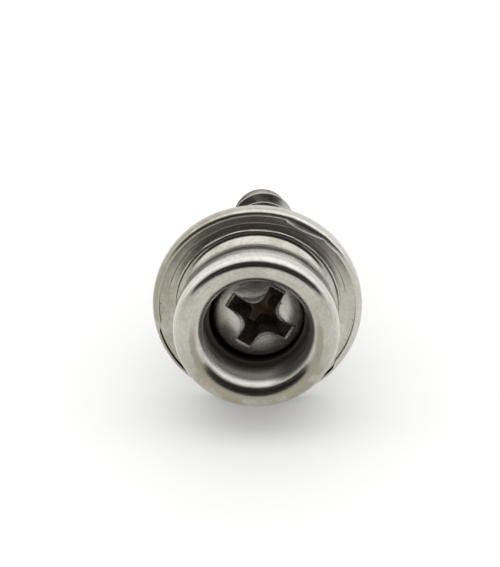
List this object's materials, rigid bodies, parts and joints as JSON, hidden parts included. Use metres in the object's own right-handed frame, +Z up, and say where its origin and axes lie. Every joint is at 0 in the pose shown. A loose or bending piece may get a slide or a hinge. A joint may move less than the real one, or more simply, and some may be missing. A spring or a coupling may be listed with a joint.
{
  "type": "snap fastener stud",
  "caption": "Screw stud of a snap fastener: round bead with a hollow bore, crimped base flange and a cross-recess tapping screw to fix it to wood or fibreglass.",
  "frame": {"origin": "on the floor, under the middle of the stud as it lies", "axes": "+Z up from the floor, the screw points towards +Y and slightly down, the bead faces -Y and slightly up, X across"},
  "size_m": [0.0128, 0.024, 0.0124],
  "materials": {
    "shell_steel": "drawn stainless steel, lightly worn, with fine turned streaks",
    "cup_steel": "stainless steel with a crimped rim",
    "screw_steel": "stainless steel, brown in the recess"
  },
  "bodies": {
    "stud": {"stud_shell": "shell_steel", "base_cup": "cup_steel"},
    "screw_body": {"screw": "screw_steel"}
  },
  "joints": [
    {"name": "screw_spin", "type": "hinge", "parent": "stud", "child": "screw_body", "pos_m": [0.0001, -0.0059, 0.00602], "axis": [0, -0.9597, 0.2811], "continuous": true}
  ]
}
